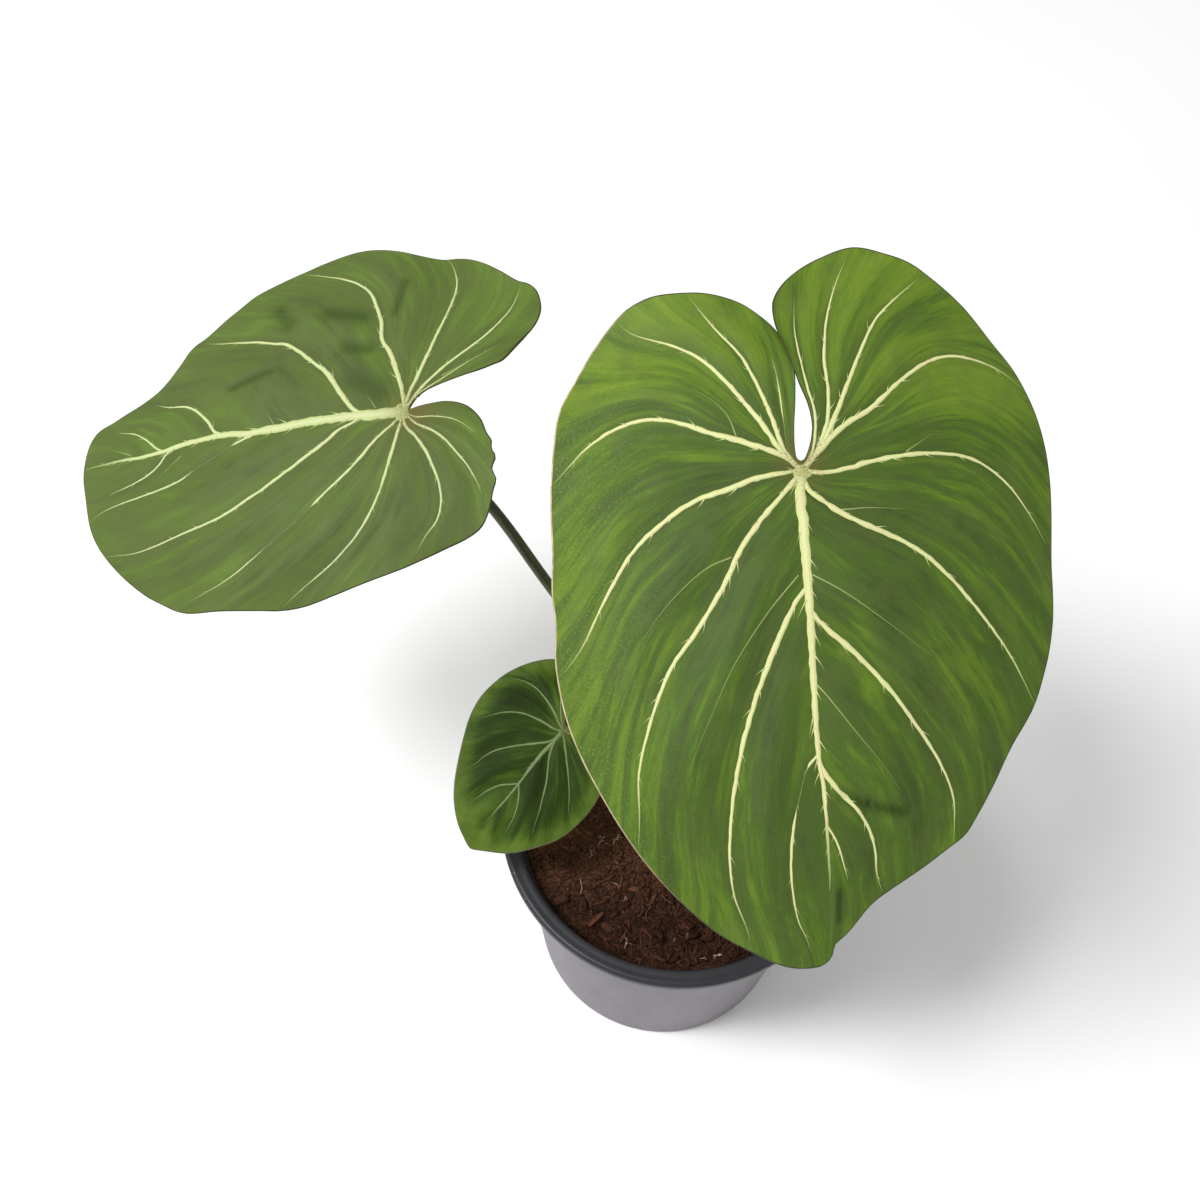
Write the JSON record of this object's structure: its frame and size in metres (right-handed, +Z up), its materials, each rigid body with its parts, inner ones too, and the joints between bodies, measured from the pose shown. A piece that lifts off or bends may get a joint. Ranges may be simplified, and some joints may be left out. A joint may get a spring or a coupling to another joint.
{
  "type": "potted zebra philodendron gloriosum",
  "caption": "House plant in a round nursery pot: heart-shaped green leaves with raised pale veins on slender stalks from a creeping rhizome on dark soil.",
  "frame": {"origin": "centre of the pot's base, on the surface it stands on", "axes": "+Z up; +Y away from the viewer of the picture; +X to the viewer's right, so the second leaf is held out towards -X"},
  "size_m": [0.3145, 0.2319, 0.3097],
  "materials": {
    "pot": "satin dark grey nursery pot plastic with a slight lilac cast",
    "soil": "moist dark brown fibrous potting mix",
    "rhizome": "dull olive stem with brown leaf scars",
    "petiole": "dark olive stalk, slightly glossy",
    "blade": "velvety green leaf with lighter streaks between the veins",
    "veins": "pale cream vein, matt",
    "young_blade": "dark green young leaf, lighter at its tip",
    "young_veins": "dull grey-green vein"
  },
  "bodies": {
    "root": {"pot": "pot", "soil": "soil", "rhizome": "rhizome", "petiole_large": "petiole", "petiole_left": "petiole", "petiole_small": "petiole", "blade_large": "blade", "veins_large": "veins", "blade_left": "blade", "veins_left": "veins", "blade_small": "young_blade", "veins_small": "young_veins"}
  },
  "joints": []
}
